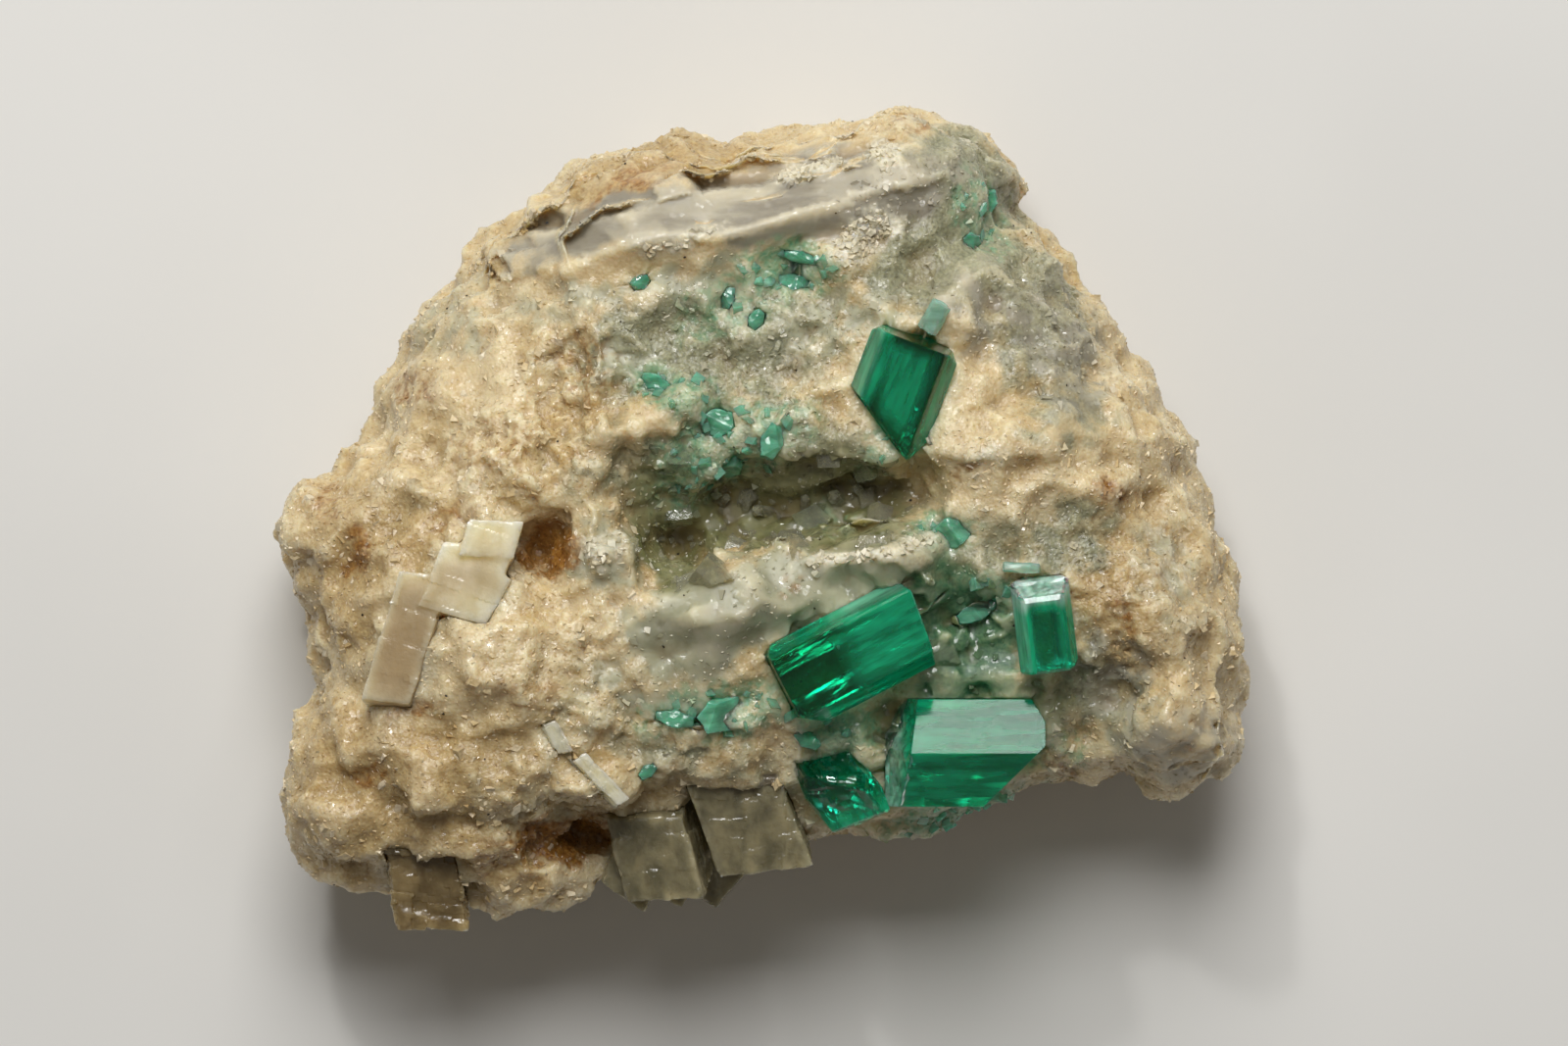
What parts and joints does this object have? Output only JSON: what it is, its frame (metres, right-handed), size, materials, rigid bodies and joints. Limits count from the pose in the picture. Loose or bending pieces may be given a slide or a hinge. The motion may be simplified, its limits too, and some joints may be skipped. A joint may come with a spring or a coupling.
{
  "type": "emerald in matrix",
  "caption": "Green six-sided emerald crystals and chips set in a broken block of cream and grey calcite rock that rests on its trimmed back.",
  "frame": {"origin": "on the resting face, below the middle of the block's outline", "axes": "+Z out of the crystal face, +X along the block's length towards the small upright emerald, +Y towards the pale vein"},
  "size_m": [0.0632, 0.0531, 0.0253],
  "materials": {
    "matrix": "rough sugary calcite, cream, buff and grey, with brown stains",
    "emerald": "clear deep green beryl with glassy faces",
    "calcite": "pale grey translucent cleavage blocks"
  },
  "bodies": {
    "root": {"matrix_rock": "matrix", "emerald_upright": "emerald", "emerald_diagonal": "emerald", "emerald_small_right": "emerald", "emerald_lower": "emerald", "emerald_broken": "emerald", "emerald_pale_upper": "emerald", "emerald_sliver": "emerald", "emerald_chip_01": "emerald", "emerald_chip_02": "emerald", "emerald_chip_03": "emerald", "emerald_chip_04": "emerald", "emerald_chip_05": "emerald", "emerald_chip_06": "emerald", "emerald_chip_07": "emerald", "emerald_chip_08": "emerald", "emerald_chip_09": "emerald", "emerald_chip_10": "emerald", "emerald_chip_11": "emerald", "emerald_chip_12": "emerald", "emerald_chip_13": "emerald", "emerald_chip_14": "emerald", "emerald_chip_15": "emerald", "emerald_chip_16": "emerald", "emerald_chip_17": "emerald", "calcite_blocks": "calcite", "calcite_left_crystal": "calcite", "calcite_corner_block": "calcite", "calcite_needle_long": "calcite", "calcite_needle_short": "calcite"}
  },
  "joints": []
}
